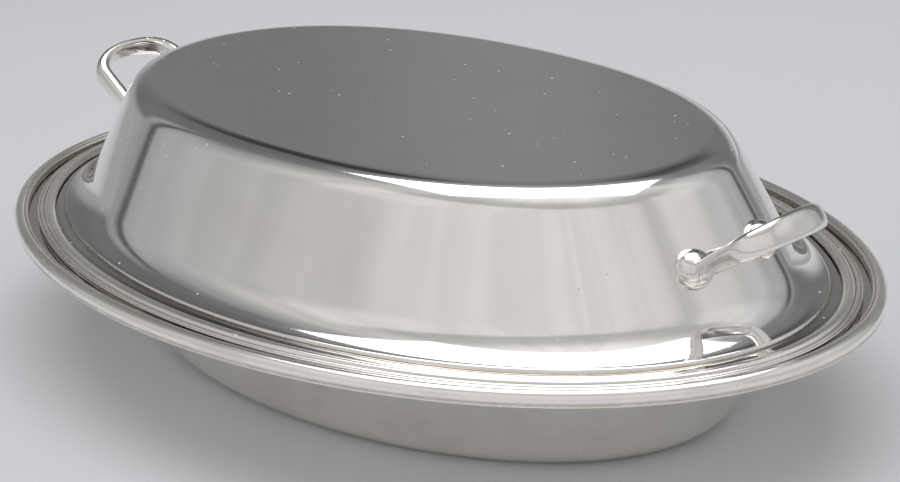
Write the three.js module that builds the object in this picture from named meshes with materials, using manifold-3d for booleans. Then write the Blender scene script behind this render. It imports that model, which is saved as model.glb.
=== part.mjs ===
// Oval double vegetable dish: a shallow serving dish and a cover that turns over to be a second dish.
// Millimetres, +Z up, +X along the oval. The origin is on the table, under the middle of the dish.
import * as THREE from 'three';
import { mergeVertices } from 'three/addons/utils/BufferGeometryUtils.js';
import Module from 'manifold-3d';

// Driving dimensions of the whole object
const LENGTH = 300;
const WIDTH = 202;
const HEIGHT = 80.7;
const SHEET = 1.0; // gauge of the metal that both bowls are raised from
const SEAM = 0.3; // clearance between pieces that touch
const SPIN_STEPS = 64;
const STRAP_STEPS = 36;
const RING_STEPS = 12;

// A section is a list of [inset, height] points: the inset is measured inwards from the piece's rim
const RIM_BAND = 15; // to this inset the rim keeps one width all round
const COVE_RADIUS = 18.9; // hollow curve from flange to wall, on both bowls

// Lower dish
const DISH_LEAN = THREE.MathUtils.degToRad(30); // wall, from the vertical
const DISH_SIDE_RATE = 0.78; // past the rim band, the sides move in more slowly than the ends
const DISH_FLANGE_TOP = 38;
const DISH_FLANGE_EDGE = 1.8;
const DISH_BASE_CORNER = 12; // radius between wall and base
const DISH_WALL_FOOT = 45.8; // inset where the line of the wall meets the table

// Wire over the dish's edge: a foot line, a broad bead, a groove and a fine inner thread
const DISH_WIRE_FOOT = [
  [0.7, 36.4],
  [0.45, 36.7],
  [0.6, 37.2],
];
const DISH_WIRE_BEAD = [
  [0.15, 38.1],
  [0.0, 38.8],
  [0.12, 39.4],
  [0.45, 40.0],
  [0.95, 40.5],
  [1.6, 40.85],
  [2.3, 41.0],
  [2.85, 40.85],
  [3.2, 40.45],
];
const DISH_WIRE_THREAD = [
  [3.4, 40.1],
  [3.7, 40.35],
  [4.1, 40.35],
  [4.4, 40.0],
];
const DISH_WIRE_INNER_EDGE = 4.5; // inset where the wire meets the flange

// Cover
const COVER_LEAN = THREE.MathUtils.degToRad(32);
const COVER_SIDE_RATE = 0.816;
const COVER_FULLNESS = 0.0245; // the flat top's oval is this share wider at its corners
const COVER_FLANGE_EDGE = 6.8;
const COVER_FLANGE_FLAT_END = 12.4;
const COVER_STEP_FOOT = [15.3, 40.0]; // a shallow channel runs up to here, then a short riser
const COVER_STEP_RISE = [
  [15.4, 40.6],
  [15.65, 41.05],
  [16.0, 41.25],
];
const COVER_COVE_START = [16.4, 41.35];
const COVER_COVE_SLOPE = THREE.MathUtils.degToRad(18); // where the cove starts, above level
const COVER_SHOULDER = 12.3; // radius between wall and flat top
const COVER_TURN = THREE.MathUtils.degToRad(-0.9); // the loose cover sits a little askew
const COVER_SHIFT = [0.8, -0.45];

// Wire on the cover's edge: an edge bead and a fine thread, then a broad moulding
const COVER_WIRE_THREADS = [
  [6.5, 39.85],
  [6.8, 40.1],
  [7.1, 39.9],
  [7.25, 39.75],
  [7.5, 40.1],
  [7.9, 40.3],
  [8.3, 40.15],
  [8.55, 39.85],
];
const COVER_WIRE_MOULDING = [
  [8.8, 40.2],
  [9.3, 40.7],
  [9.95, 40.9],
  [10.7, 40.85],
  [11.4, 40.6],
  [12.0, 40.2],
];

// Handles
const HANDLE_HEIGHT_RIGHT = 58.4; // where the middle of the handle meets the wall
const HANDLE_HEIGHT_LEFT = 56.7; // soldered on by hand, a little lower
const HANDLE_SINK = 0.7; // handle's own origin, inside the wall's line
const HANDLE_TILT = THREE.MathUtils.degToRad(33.5); // of the loop's plane, above level
const HANDLE_HALF_SPAN = 14.8; // strap's middle line, from the handle's own middle
const HANDLE_REACH = 25.3; // strap's middle line, out from the wall
const HANDLE_BEND_START = 16; // straight shanks end here
const BEND_SQUARENESS = 2.25; // 2 is an ellipse
const STRAP_WIDTH = 7.6;
const STRAP_THICKNESS = 3.0;
const FOOT_WIDTH = 5.1;
const FOOT_THICKNESS = 4.6;
const STRAP_SWELL = 2; // 1 widens the strap evenly, more keeps the widening to the bar
const SECTION_SQUARENESS = 2.6;
const LOBE = [5.2, 5.4, 5.6]; // half sizes: out from the wall, along it, up it
const LOBE_SPAN = 13.6; // lobe's middle, from the handle's own middle
const LOBE_RISE = 1.3; // lobe's middle above the shank's
const LOBE_SINK = -1.2; // the wall bends back from the handle's middle

const halfLength = LENGTH / 2;
const halfWidth = WIDTH / 2;
const coverUnderside = DISH_FLANGE_TOP + SEAM;
const coverFlangeTop = coverUnderside + SHEET;

// Where the line of the cover's wall stands at a height, inside the cove's end
const coverCoveCentre = [
  COVER_COVE_START[0] - COVE_RADIUS * Math.sin(COVER_COVE_SLOPE),
  COVER_COVE_START[1] + COVE_RADIUS * Math.cos(COVER_COVE_SLOPE),
];
const coveEndInset = coverCoveCentre[0] + COVE_RADIUS * Math.cos(COVER_LEAN);
const coveEndHeight = coverCoveCentre[1] - COVE_RADIUS * Math.sin(COVER_LEAN);
const coverWallInset = (height) => coveEndInset + (height - coveEndHeight) * Math.tan(COVER_LEAN);

// Where each bowl turns flat: a corner of radius r takes r * tan(half its turn) from the wall's line
const cornerTake = (lean) => Math.tan((Math.PI / 2 - lean) / 2);
const dishFlatInset = DISH_WALL_FOOT + DISH_BASE_CORNER * cornerTake(DISH_LEAN);
const coverFlatInset = coverWallInset(HEIGHT) + COVER_SHOULDER * cornerTake(COVER_LEAN);

// The rule for each bowl's ovals, from its rim in to its flat
const dishOval = { flatInset: dishFlatInset, sideRate: DISH_SIDE_RATE, fullness: 0 };
const coverOval = { flatInset: coverFlatInset, sideRate: COVER_SIDE_RATE, fullness: COVER_FULLNESS };

// Points on an arc in a section, from one angle to another, in radians from the inset axis
function arc([cx, cz], radius, from, to, steps) {
  const points = [];
  for (let i = 0; i <= steps; i += 1) {
    const angle = from + ((to - from) * i) / steps;
    points.push([cx + radius * Math.cos(angle), cz + radius * Math.sin(angle)]);
  }
  return points;
}

// Half width of the oval whose half length is given
function halfWidthAt(radius, { flatInset, sideRate }) {
  const inset = halfLength - radius;
  const insetY = (depth) => Math.min(depth, RIM_BAND) + sideRate * Math.max(depth - RIM_BAND, 0);
  if (inset <= flatInset) {
    return halfWidth - insetY(inset);
  }
  return (radius * (halfWidth - insetY(flatInset))) / (halfLength - flatInset);
}

// How much wider than an ellipse an oval is at its corners, growing from the rim band to the flat
function fullnessAt(radius, { flatInset, fullness }) {
  const share = (halfLength - radius - RIM_BAND) / (flatInset - RIM_BAND);
  return fullness * THREE.MathUtils.clamp(share, 0, 1);
}

// Spins a section into a round piece, then draws it in to the oval
function ovalSpin(section, oval) {
  const outline = section.map(([inset, height]) => new THREE.Vector2(halfLength - inset, height));
  const geometry = new THREE.LatheGeometry(outline, SPIN_STEPS);
  geometry.rotateX(Math.PI / 2);
  const position = geometry.attributes.position;
  for (let i = 0; i < position.count; i += 1) {
    const radius = Math.hypot(position.getX(i), position.getY(i));
    if (radius > 0) {
      const along = position.getX(i) / radius;
      const aside = position.getY(i) / radius;
      const swell = 1 + fullnessAt(radius, oval) * (2 * along * aside) ** 2;
      position.setX(i, radius * along * swell);
      position.setY(i, halfWidthAt(radius, oval) * aside * swell);
    }
  }
  return closedBody(geometry);
}

// Keeps position only, shares the vertices of touching faces and drops faces without area
function closedBody(geometry) {
  geometry.deleteAttribute('normal');
  geometry.deleteAttribute('uv');
  const merged = mergeVertices(geometry, 1e-4);
  const index = merged.index.array;
  const kept = [];
  for (let i = 0; i < index.length; i += 3) {
    const [a, b, c] = [index[i], index[i + 1], index[i + 2]];
    if (a !== b && b !== c && c !== a) {
      kept.push(a, b, c);
    }
  }
  merged.setIndex(kept);
  merged.computeVertexNormals();
  return merged;
}

// One side of the lower dish's wall, from flange to base; depth is the distance in from the outside
function dishSide(depth) {
  const flangeHeight = DISH_FLANGE_TOP - SHEET + depth;
  const lean = Math.PI / 2 - DISH_LEAN;
  const coveHeight = DISH_FLANGE_TOP - SHEET - COVE_RADIUS;
  const endHeight = coveHeight + COVE_RADIUS * Math.cos(lean);
  const coveInset = DISH_WALL_FOOT - endHeight * Math.tan(DISH_LEAN) - COVE_RADIUS * Math.sin(lean);
  const flange = [[DISH_FLANGE_EDGE, flangeHeight]];
  const bend = arc([coveInset, coveHeight], COVE_RADIUS + depth, Math.PI / 2, Math.PI / 2 - lean, 5);
  const corner = arc(
    [dishFlatInset, DISH_BASE_CORNER],
    DISH_BASE_CORNER - depth,
    Math.PI + DISH_LEAN,
    1.5 * Math.PI,
    5,
  );
  return [...flange, ...bend, ...corner];
}

// One side of the cover's wall, from the foot of its cove to its flat top
function coverWall(depth) {
  const cove = arc(
    coverCoveCentre,
    COVE_RADIUS + depth,
    COVER_COVE_SLOPE - Math.PI / 2,
    -COVER_LEAN,
    6,
  );
  const shoulder = arc(
    [coverFlatInset, HEIGHT - COVER_SHOULDER],
    COVER_SHOULDER - depth,
    Math.PI - COVER_LEAN,
    Math.PI / 2,
    7,
  );
  return [...cove, ...shoulder];
}

function dishBowl() {
  const outside = dishSide(0).reverse();
  const inside = dishSide(SHEET);
  return ovalSpin([[halfLength, 0], ...outside, ...inside, [halfLength, SHEET]], dishOval);
}

function dishBorder() {
  const seat = DISH_FLANGE_TOP + SEAM;
  const outerSeat = DISH_FLANGE_EDGE - SEAM;
  const [footEdge] = DISH_WIRE_FOOT;
  const section = [
    [outerSeat, footEdge[1]],
    ...DISH_WIRE_FOOT,
    ...DISH_WIRE_BEAD,
    ...DISH_WIRE_THREAD,
    [DISH_WIRE_INNER_EDGE, seat],
    [outerSeat, seat],
  ];
  return ovalSpin([...section, section[0]], dishOval);
}

function coverBowl() {
  const outside = [
    [COVER_FLANGE_EDGE, coverFlangeTop],
    [COVER_FLANGE_FLAT_END, coverFlangeTop],
    COVER_STEP_FOOT,
    ...COVER_STEP_RISE,
    ...coverWall(0),
  ];
  const inside = [
    ...coverWall(SHEET).reverse(),
    [COVER_STEP_FOOT[0] + SHEET / 2, COVER_STEP_FOOT[1] - SHEET],
    [COVER_FLANGE_FLAT_END + SHEET / 2, coverUnderside],
    [COVER_FLANGE_EDGE, coverUnderside],
  ];
  const section = [[halfLength, HEIGHT - SHEET], ...inside, ...outside, [halfLength, HEIGHT]];
  return ovalSpin(section, coverOval);
}

function coverBorder() {
  const seat = coverFlangeTop + SEAM;
  const [outerEdge] = COVER_WIRE_THREADS[0];
  const section = [
    [outerEdge, seat],
    ...COVER_WIRE_THREADS,
    ...COVER_WIRE_MOULDING,
    [COVER_FLANGE_FLAT_END - SEAM, seat],
  ];
  return ovalSpin([...section, section[0]], coverOval);
}

const wasm = await Module();
wasm.setup();

function toSolid(geometry) {
  const mesh = new wasm.Mesh({
    numProp: 3,
    vertProperties: new Float32Array(geometry.attributes.position.array),
    triVerts: new Uint32Array(geometry.index.array),
  });
  return new wasm.Manifold(mesh);
}

function toGeometry(solid) {
  const mesh = solid.getMesh();
  const geometry = new THREE.BufferGeometry();
  geometry.setAttribute('position', new THREE.BufferAttribute(mesh.vertProperties, 3));
  geometry.setIndex(new THREE.BufferAttribute(mesh.triVerts, 1));
  geometry.computeVertexNormals();
  return geometry;
}

// Skin through a row of rings with equal point counts, closed by a fan at each end
function loft(rings) {
  const count = rings[0].length;
  const centreOf = (ring) => ring.reduce((sum, p) => sum.add(p), new THREE.Vector3()).divideScalar(count);
  const points = [...rings.flat(), centreOf(rings[0]), centreOf(rings[rings.length - 1])];
  const index = [];
  for (let i = 0; i < rings.length - 1; i += 1) {
    for (let j = 0; j < count; j += 1) {
      const a = i * count + j;
      const b = i * count + ((j + 1) % count);
      index.push(a, b, b + count, a, b + count, a + count);
    }
  }
  const last = (rings.length - 1) * count;
  for (let j = 0; j < count; j += 1) {
    const next = (j + 1) % count;
    index.push(points.length - 2, next, j);
    index.push(points.length - 1, last + j, last + next);
  }
  const geometry = new THREE.BufferGeometry().setFromPoints(points);
  geometry.setIndex(index);
  return geometry;
}

// Handle frame at its root: out along the loop, across it, and up, square to its plane
const outward = new THREE.Vector3(Math.cos(HANDLE_TILT), 0, Math.sin(HANDLE_TILT));
const across = new THREE.Vector3(0, 1, 0);
const upward = new THREE.Vector3(-Math.sin(HANDLE_TILT), 0, Math.cos(HANDLE_TILT));

function handlePoint(out, side, up) {
  return new THREE.Vector3()
    .addScaledVector(outward, out)
    .addScaledVector(across, side)
    .addScaledVector(upward, up);
}

// Signed power, which turns a circle's cosine and sine into those of a squarer oval
function squarer(value, power) {
  return Math.sign(value) * Math.abs(value) ** (2 / power);
}

// Middle line of the strap in the loop's plane: two straight shanks and an arched bar
function strapLine() {
  const bendSteps = 48;
  const shank = [-1.5, 4, 10].map((out) => new THREE.Vector3(HANDLE_HALF_SPAN, out, 0));
  const bend = [];
  for (let i = 0; i <= bendSteps; i += 1) {
    const angle = (Math.PI * i) / bendSteps;
    const side = HANDLE_HALF_SPAN * squarer(Math.cos(angle), BEND_SQUARENESS);
    const rise = (HANDLE_REACH - HANDLE_BEND_START) * squarer(Math.sin(angle), BEND_SQUARENESS);
    bend.push(new THREE.Vector3(side, HANDLE_BEND_START + rise, 0));
  }
  const otherShank = shank.map(({ x, y }) => new THREE.Vector3(-x, y, 0)).reverse();
  return new THREE.CatmullRomCurve3([...shank, ...bend, ...otherShank]);
}

// Section across the strap at a share of its length: roundish at the feet, wide and thin mid-bar
function strapRing(line, share) {
  const { x: side, y: out } = line.getPointAt(share);
  const { x: alongSide, y: alongOut } = line.getTangentAt(share);
  const swell = Math.sin(Math.PI * share) ** STRAP_SWELL;
  const halfWide = THREE.MathUtils.lerp(FOOT_WIDTH, STRAP_WIDTH, swell) / 2;
  const halfThick = THREE.MathUtils.lerp(FOOT_THICKNESS, STRAP_THICKNESS, swell ** 3) / 2;
  const ring = [];
  for (let k = 0; k < RING_STEPS; k += 1) {
    const angle = (2 * Math.PI * k) / RING_STEPS;
    const through = halfThick * squarer(Math.cos(angle), SECTION_SQUARENESS);
    const up = halfWide * squarer(Math.sin(angle), SECTION_SQUARENESS);
    ring.push(handlePoint(out - alongSide * through, side + alongOut * through, up));
  }
  return ring;
}

// Rounded lobe at a foot of the handle, half sunk in the wall before it is cut to it
function lobe(side) {
  const geometry = new THREE.SphereGeometry(1, 16, 12);
  const place = new THREE.Matrix4().makeBasis(outward, across, upward);
  place.setPosition(handlePoint(LOBE_SINK, side, LOBE_RISE));
  geometry.applyMatrix4(new THREE.Matrix4().makeScale(...LOBE));
  geometry.applyMatrix4(place);
  return closedBody(geometry);
}

// Everything inside the cover's wall, with the seam's clearance, to cut the lobes to the wall
function coverCore() {
  const clearance = SEAM / Math.cos(COVER_LEAN);
  const skin = coverWall(0).map(([inset, height]) => [inset - clearance, height]);
  const [footInset, footHeight] = skin[0];
  const section = [
    [halfLength, footHeight - SHEET],
    [footInset, footHeight - SHEET],
    ...skin,
    [halfLength, HEIGHT],
  ];
  return ovalSpin(section, { ...coverOval, flatInset: coverFlatInset - clearance });
}

// The root stands a little inside the wall's line at its height
function handle(height) {
  const reach = halfLength - coverWallInset(height) - HANDLE_SINK;
  const line = strapLine();
  const rings = [];
  for (let i = 0; i <= STRAP_STEPS; i += 1) {
    rings.push(strapRing(line, i / STRAP_STEPS));
  }
  const strap = toSolid(loft(rings));
  const nearLobe = toSolid(lobe(-LOBE_SPAN));
  const farLobe = toSolid(lobe(LOBE_SPAN));
  const whole = strap.add(nearLobe).add(farLobe).translate([reach, 0, height]);
  return toGeometry(whole.subtract(toSolid(coverCore())));
}

// Finishes, from the photograph: bright polished silver, a little duller where it is cast
const polished = { color: 0xc9c7c3, roughness: 0.12, metalness: 1 };
const cast = { color: 0xc4c1bb, roughness: 0.18, metalness: 1 };

function piece(name, geometry, finish) {
  const mesh = new THREE.Mesh(geometry, new THREE.MeshStandardMaterial(finish));
  mesh.name = name;
  return mesh;
}

const group = new THREE.Group();
group.add(piece('dish_bowl', dishBowl(), polished));
group.add(piece('dish_border', dishBorder(), cast));

const cover = new THREE.Group();
cover.add(piece('cover_bowl', coverBowl(), polished));
cover.add(piece('cover_border', coverBorder(), cast));

const rightHandle = piece('handle_right', handle(HANDLE_HEIGHT_RIGHT), cast);
const leftHandle = piece('handle_left', handle(HANDLE_HEIGHT_LEFT), cast);
leftHandle.rotation.z = Math.PI;
cover.add(rightHandle, leftHandle);
cover.rotation.z = COVER_TURN;
cover.position.set(...COVER_SHIFT, 0);
group.add(cover);

export default group;
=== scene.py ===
# %% [markdown]
# # An oval double vegetable dish in silver plate
#
# A shallow oval dish stands on the table, and its cover is a second dish turned upside down: with
# the cover off, both can serve. Each bowl is raised from one sheet of metal, each edge carries a
# moulded wire, and two cast strap handles are soldered to the cover's ends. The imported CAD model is
# loaded first. It fixes every size and place, and the pieces made here are finer skins over it.

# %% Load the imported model
import math
from bisect import bisect_left

import bmesh
import bpy
from mathutils import Matrix, Vector


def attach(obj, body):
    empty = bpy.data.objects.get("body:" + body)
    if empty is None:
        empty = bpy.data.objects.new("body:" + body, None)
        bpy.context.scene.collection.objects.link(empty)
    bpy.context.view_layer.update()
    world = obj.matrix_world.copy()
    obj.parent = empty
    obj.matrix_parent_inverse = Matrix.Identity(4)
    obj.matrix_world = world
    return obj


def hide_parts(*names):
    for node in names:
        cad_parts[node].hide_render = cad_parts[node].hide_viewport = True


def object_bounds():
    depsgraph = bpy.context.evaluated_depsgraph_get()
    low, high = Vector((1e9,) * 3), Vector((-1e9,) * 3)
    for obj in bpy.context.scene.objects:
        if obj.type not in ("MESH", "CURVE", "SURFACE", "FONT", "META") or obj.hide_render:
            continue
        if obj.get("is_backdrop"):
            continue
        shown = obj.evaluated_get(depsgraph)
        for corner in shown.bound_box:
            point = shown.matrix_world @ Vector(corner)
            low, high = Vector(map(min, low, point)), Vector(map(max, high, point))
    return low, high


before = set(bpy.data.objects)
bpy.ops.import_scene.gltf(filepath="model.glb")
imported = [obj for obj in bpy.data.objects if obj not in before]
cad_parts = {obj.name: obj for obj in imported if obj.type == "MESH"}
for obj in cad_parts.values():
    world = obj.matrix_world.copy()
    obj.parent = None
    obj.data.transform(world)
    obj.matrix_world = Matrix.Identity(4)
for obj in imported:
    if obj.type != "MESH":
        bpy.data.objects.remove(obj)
cad_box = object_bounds()
MM = 0.001

# %% [markdown]
# ## The camera
#
# The camera stands where a fit of the rim, the base and the flat top put it: low, at one end of the
# oval and half way to its side. The little roll and the lens shift belong to the picture's framing.
# A camera looks along its own -Z, so its matrix has the right, the up and the backward direction.

# %% Camera
IMAGE_WIDTH, IMAGE_HEIGHT = 900, 482
camera_turn = math.radians(-44.0)
camera_rise = math.radians(19.39)
camera_roll = math.radians(-2.91)
camera_distance = 0.699
aim_point = Vector((0, 0, 0.05))
focal_pixels = 2364.0
centre_pixel = (419.8, 193.3)

forward = -Vector((
    math.cos(camera_rise) * math.cos(camera_turn),
    math.cos(camera_rise) * math.sin(camera_turn),
    math.sin(camera_rise),
))
level_right = forward.cross(Vector((0, 0, 1))).normalized()
level_up = level_right.cross(forward)
right = level_right * math.cos(camera_roll) + level_up * math.sin(camera_roll)
up = level_up * math.cos(camera_roll) - level_right * math.sin(camera_roll)

lens = bpy.data.cameras.new("camera")
lens.sensor_width = 36.0
lens.lens = focal_pixels * lens.sensor_width / IMAGE_WIDTH
lens.shift_x = (IMAGE_WIDTH / 2 - centre_pixel[0]) / IMAGE_WIDTH
lens.shift_y = (centre_pixel[1] - IMAGE_HEIGHT / 2) / IMAGE_WIDTH
camera = bpy.data.objects.new("camera", lens)
camera_axes = Matrix((right, up, -forward)).transposed()
camera.matrix_world = Matrix.Translation(aim_point - forward * camera_distance) @ camera_axes.to_4x4()
bpy.context.scene.collection.objects.link(camera)
bpy.context.scene.camera = camera
print("lens", round(lens.lens, 1), "mm, shift", round(lens.shift_x, 4), round(lens.shift_y, 4))

# %% [markdown]
# ## The room that the silver mirrors
#
# Polished silver has hardly a colour of its own: it shows what stands round it. Real cards and lamps
# could be built round the dish, but each would have to be moved to be tuned, and one of them would
# stand in the way when the dish is looked at from behind. So the room is painted into the world, by
# direction alone: every direction that a mirror can look in has its own grey.
#
# The helpers come first. Each adds a node or two to a tree and gives back the output, so that a
# formula reads as a formula.

# %% Node helpers
def add_node(tree, kind, **settings):
    node = tree.nodes.new(kind)
    for name, value in settings.items():
        setattr(node, name, value)
    return node


def feed(tree, socket, value):
    """Links a socket, or sets a plain value, on an input socket."""
    if isinstance(value, bpy.types.NodeSocket):
        tree.links.new(value, socket)
    else:
        socket.default_value = value


def maths(tree, operation, *values):
    node = add_node(tree, "ShaderNodeMath", operation=operation)
    for socket, value in zip(node.inputs, values):
        feed(tree, socket, value)
    return node.outputs[0]


def ramp(tree, value, low, high, start=0.0, end=1.0):
    """A smooth step from start to end while value goes from low to high."""
    node = add_node(tree, "ShaderNodeMapRange", interpolation_type="SMOOTHSTEP")
    for name, setting in (("Value", value), ("From Min", low), ("From Max", high),
                          ("To Min", start), ("To Max", end)):
        feed(tree, node.inputs[name], setting)
    return node.outputs[0]


def mixed(tree, share, first, second):
    """A colour between two others."""
    node = add_node(tree, "ShaderNodeMix", data_type="RGBA")
    feed(tree, node.inputs[0], share)
    feed(tree, node.inputs[6], first)
    feed(tree, node.inputs[7], second)
    return node.outputs[2]


def split_vector(tree, vector):
    parts = add_node(tree, "ShaderNodeSeparateXYZ")
    feed(tree, parts.inputs[0], vector)
    return parts.outputs


def scaled_vector(tree, vector, scale):
    node = add_node(tree, "ShaderNodeVectorMath", operation="SCALE")
    feed(tree, node.inputs[0], vector)
    feed(tree, node.inputs["Scale"], scale)
    return node.outputs[0]


# %% [markdown]
# In a world's tree the texture coordinate `Generated` is the direction of a ray. It is split into
# what lies beyond the dish, what lies aside and the height, and the first two give the turn round
# the room. These axes are fixed in the room. They don't follow the camera, so the greys stay where
# they are when the dish is looked at from another side.

# %% Directions
world = bpy.data.worlds.new("pale room")
world.use_nodes = True
bpy.context.scene.world = world
room = world.node_tree
room.nodes.clear()

direction = split_vector(room, add_node(room, "ShaderNodeTexCoord").outputs["Generated"])
beyond_axis = -Vector((math.cos(camera_turn), math.sin(camera_turn)))
side_axis = Vector((beyond_axis.y, -beyond_axis.x))


def along_axis(axis):
    first = maths(room, "MULTIPLY", direction[0], axis.x)
    return maths(room, "MULTIPLY_ADD", direction[1], axis.y, first)


beyond = along_axis(beyond_axis)
aside = along_axis(side_axis)
height = direction[2]
turn_round = maths(room, "ARCTAN2", aside, beyond)  # 0 beyond the dish, positive to the right
full_turn = maths(room, "MULTIPLY_ADD", turn_round, 1 / (2 * math.pi), 0.5)


def climb(low, high):
    """0 below one height and 1 above another, in degrees above level; turned round, it falls."""
    return ramp(room, height, math.sin(math.radians(low)), math.sin(math.radians(high)))


def patch(value, start, full, last, end):
    """1 while value is between full and last, falling smoothly to 0 at start and at end."""
    return maths(room, "MULTIPLY", ramp(room, value, start, full), ramp(room, value, last, end, 1.0, 0.0))


# %% [markdown]
# ### Greys round the room
#
# The flat top and the ends of the leaning walls mirror a low band of the room, and the middle of a
# wall a higher one. Each band is a ring of greys, written by the turn from straight beyond the dish,
# and a colour ramp runs smoothly from stop to stop. Two narrow dim bars low down, at about 52 degrees
# to each side, give the crisp dark lines that polished metal shows where it turns away. The greys
# are written as they should look on the screen, and `tone` turns them into light, with a little more
# for what silver swallows.

# %% Rings of greys
SILVER_RETURN = 0.93
WARM, PLAIN = (1.0, 0.982, 0.968), (1.0, 1.0, 1.0)
WARM_BEYOND = 80  # degrees to either side; nearer the middle the greys are plain
LOW_RING_TOP, HIGH_RING_FOOT = 22, 36


def tone(screen, tint=PLAIN):
    """The brightness that silver mirrors as a grey of 0 to 255 on the screen."""
    linear = ((screen / 255 + 0.055) / 1.055) ** 2.4 / SILVER_RETURN
    return tuple(linear * share for share in tint) + (1,)


def ring(stops):
    """Greys round the room, by the turn in degrees from straight beyond the dish."""
    node = add_node(room, "ShaderNodeValToRGB")
    feed(room, node.inputs[0], full_turn)
    node.color_ramp.interpolation = "EASE"
    while len(node.color_ramp.elements) < len(stops):
        node.color_ramp.elements.new(1.0)
    for element, (turn_degrees, grey) in zip(node.color_ramp.elements, stops):
        element.position = turn_degrees / 360 + 0.5
        element.color = tone(grey, WARM if abs(turn_degrees) > WARM_BEYOND else PLAIN)
    return node.outputs[0]


low_ring = ring((
    (-180, 208), (-128, 208), (-104, 188), (-84, 178), (-60, 163), (-54.4, 152), (-53.2, 84), (-51.4, 88),
    (-50, 148), (-47.5, 142), (-45, 108), (-28, 106), (-8, 116), (-4, 118), (3, 129), (7, 118), (20, 113),
    (40, 108), (48, 116), (50, 152), (51.6, 90), (53.4, 90), (56, 156), (64, 166), (78, 184), (98, 192),
    (126, 180), (146, 202), (180, 208),
))
high_ring = ring((
    (-180, 212), (-128, 212), (-104, 214), (-84, 190), (-66, 150), (-58, 124), (-52, 108), (-32, 100),
    (-22, 54), (-14, 60), (-5, 118), (4, 120), (13, 96), (20, 68), (28, 82), (38, 116), (52, 126),
    (60, 172), (80, 206), (100, 208), (114, 206), (128, 182), (142, 203), (180, 212),
))
paint = mixed(room, climb(LOW_RING_TOP, HIGH_RING_FOOT), low_ring, high_ring)
print("nodes in the world so far:", len(room.nodes))

# %% [markdown]
# ### Ceiling, seam and low light
#
# In front of the dish the wall of the room runs up to a pale ceiling. A dimmer seam between the two
# shows as a soft line along the foot of the cover's wall. Beyond the dish the upper room is plain
# grey. Low down there, three paler patches stand for the far end of the lit table.

# %% Ceiling and seam
FRONT_FADE, BACK_FADE = (0.10, -0.25), (0.05, 0.25)  # how far a direction points beyond the dish
CEILING_START, CEILING_FADE = (48, 52), (56, 76)  # heights in degrees above level, here and below
CEILING_NEAR, CEILING_FAR = 184, 236
SEAM_HEIGHTS, SEAM_GREY = (44, 49, 51, 57), 176
DIM_HEIGHTS, DIM_GREY = (47, 61), 152

to_front = ramp(room, beyond, *FRONT_FADE)
ceiling = mixed(room, climb(*CEILING_FADE), tone(CEILING_NEAR, WARM), tone(CEILING_FAR, WARM))
paint = mixed(room, maths(room, "MULTIPLY", to_front, climb(*CEILING_START)), paint, ceiling)
seam_limits = [math.sin(math.radians(degrees)) for degrees in SEAM_HEIGHTS]
seam_share = maths(room, "MULTIPLY", to_front, patch(height, *seam_limits))
paint = mixed(room, seam_share, paint, tone(SEAM_GREY))
to_back = ramp(room, beyond, *BACK_FADE)
paint = mixed(room, maths(room, "MULTIPLY", to_back, climb(*DIM_HEIGHTS)), paint, tone(DIM_GREY))

# %% Low light
# Where each patch lies round the room, in radians; the heights that it fades between; its grey
LOW_PATCHES = (
    ((-0.45, -0.02, 0.45, 0.75), (14, 2), 190),
    ((-0.45, 0.0, 0.5, 0.9), (5, -0.5), 200),
    ((-0.87, -0.80, -0.40, -0.10), (9, 0), 150),
)
for turn_limits, heights, grey in LOW_PATCHES:
    patch_share = maths(room, "MULTIPLY", patch(turn_round, *turn_limits), climb(*heights))
    paint = mixed(room, patch_share, paint, tone(grey))
print("low patches:", len(LOW_PATCHES))

# %% [markdown]
# ### Folds and the panel overhead
#
# No room is one even grey. A soft noise, drawn out upwards like hanging folds, makes it lighter and
# darker by a few hundredths, so that no large surface mirrors one flat tone. Last comes the bright
# panel overhead that gives the long white lines on rim and handles. It is level, so its edges run
# straight once a direction is divided by its own height.

# %% Folds
FOLD_SCALE, FOLD_RISE = 5.0, 0.6
FOLD_RANGE, FOLD_SHADE = (0.36, 0.64), (0.95, 1.04)

fold_place = add_node(room, "ShaderNodeCombineXYZ")
feed(room, fold_place.inputs[0], turn_round)
feed(room, fold_place.inputs[1], maths(room, "MULTIPLY", height, FOLD_RISE))
folds = add_node(room, "ShaderNodeTexNoise")
feed(room, folds.inputs["Vector"], fold_place.outputs[0])
folds.inputs["Scale"].default_value = FOLD_SCALE
folds.inputs["Detail"].default_value = 2.0
paint = scaled_vector(room, paint, ramp(room, folds.outputs["Fac"], *FOLD_RANGE, *FOLD_SHADE))

# %% Panel and output
# Where the panel starts, is full, and ends, in shares of its height above the dish
PANEL_SIDES = (-0.60, -0.54, 0.46, 0.52)
PANEL_ENDS = (-0.24, -0.14, 0.46, 0.51)
PANEL_LIGHT = (2.6, 2.6, 2.6, 1)
LEAST_HEIGHT = 0.01  # keeps the division clear of the horizon

safe_height = maths(room, "MAXIMUM", height, LEAST_HEIGHT)
panel_side = patch(maths(room, "DIVIDE", aside, safe_height), *PANEL_SIDES)
panel_along = patch(maths(room, "DIVIDE", beyond, safe_height), *PANEL_ENDS)
paint = mixed(room, maths(room, "MULTIPLY", panel_side, panel_along), paint, PANEL_LIGHT)

background = add_node(room, "ShaderNodeBackground")
feed(room, background.inputs["Color"], paint)
world_output = add_node(room, "ShaderNodeOutputWorld")
feed(room, world_output.inputs[0], background.outputs[0])
print("world nodes:", len(room.nodes))

# %% [markdown]
# ## The table
#
# One large pale sheet, far wider than any view needs, catches the dish's soft shadow. Far from the
# dish its colour is painted a little darker, a painted shade for the light that falls off across a
# lit table, which the leaning walls mirror. It is marked as stage, so it isn't part of the object.

# %% Table
TABLE_REACH = 5.0
NEAR_REACH, FAR_REACH = 0.1, 0.9  # metres from the dish's middle
# Painted shade: the far colour is darker than the near one, standing in for light falling off away from the
# dish.
NEAR_COLOUR, FAR_PAINTED_SHADE = (0.76, 0.77, 0.81, 1), (0.45, 0.45, 0.465, 1)

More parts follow.
